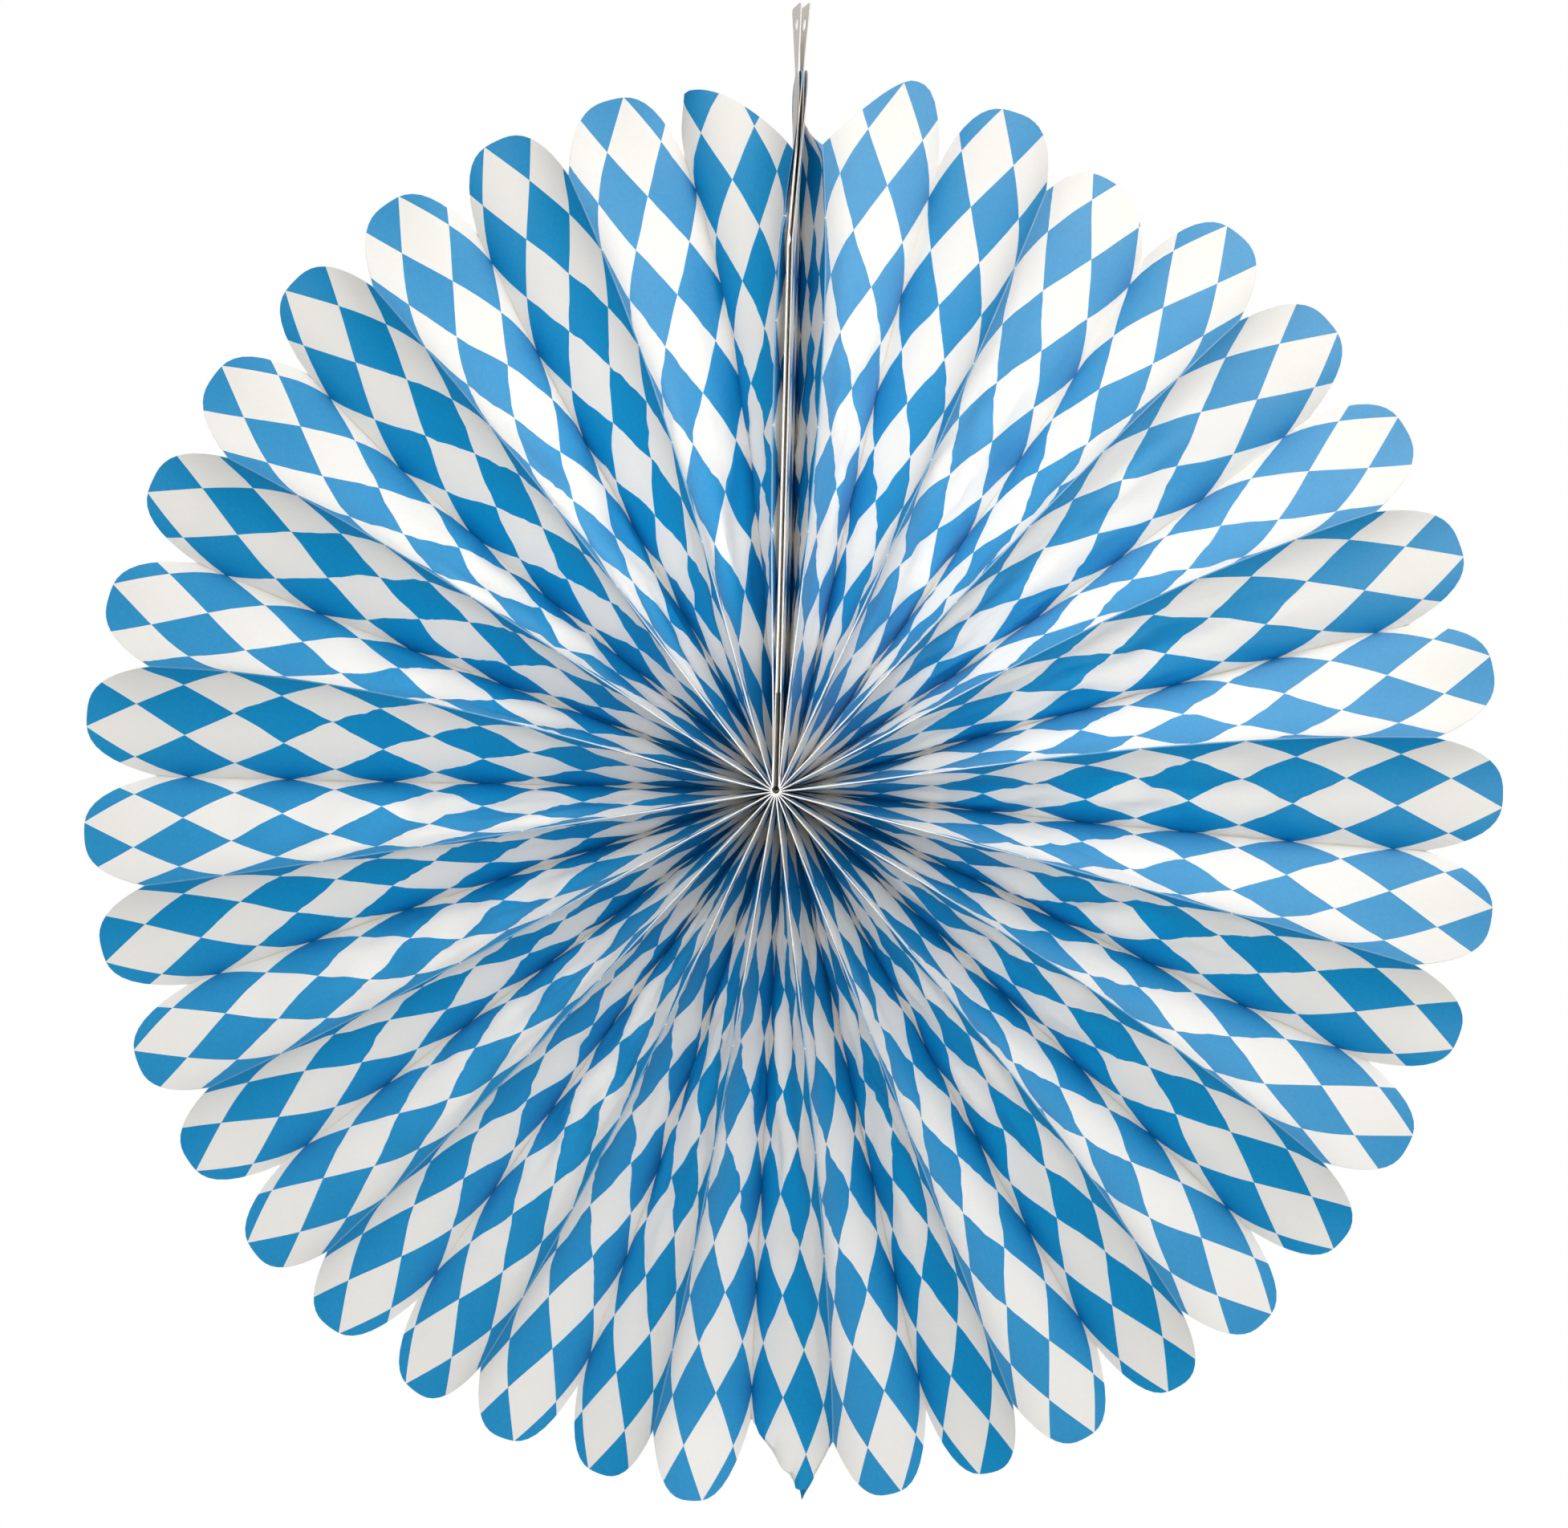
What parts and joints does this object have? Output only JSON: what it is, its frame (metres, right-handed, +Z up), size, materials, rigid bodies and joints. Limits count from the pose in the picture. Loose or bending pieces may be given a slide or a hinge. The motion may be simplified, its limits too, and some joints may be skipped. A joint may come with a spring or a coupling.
{
  "type": "paper fan medallion",
  "caption": "Round hanging decoration of one pleated paper sheet with petal-shaped ends, closed at a seam by two card strips whose tab has a hanging hole.",
  "frame": {"origin": "centre of the hanging hole in the tab, at the seam between the two card strips", "axes": "+Z up, away from the fan's axis; +Y to the back of the fan, so that the printed front faces -Y; +X to the right seen from the front, along the hanging hole"},
  "size_m": [0.5991, 0.0602, 0.6277],
  "materials": {
    "printed_paper": "coated paper with a blue and white lozenge print, slightly glossy",
    "white_card": "plain uncoated white card"
  },
  "bodies": {
    "root": {"pleated_fan": "printed_paper", "tab_card_left": "white_card", "tab_card_right": "white_card"}
  },
  "joints": []
}
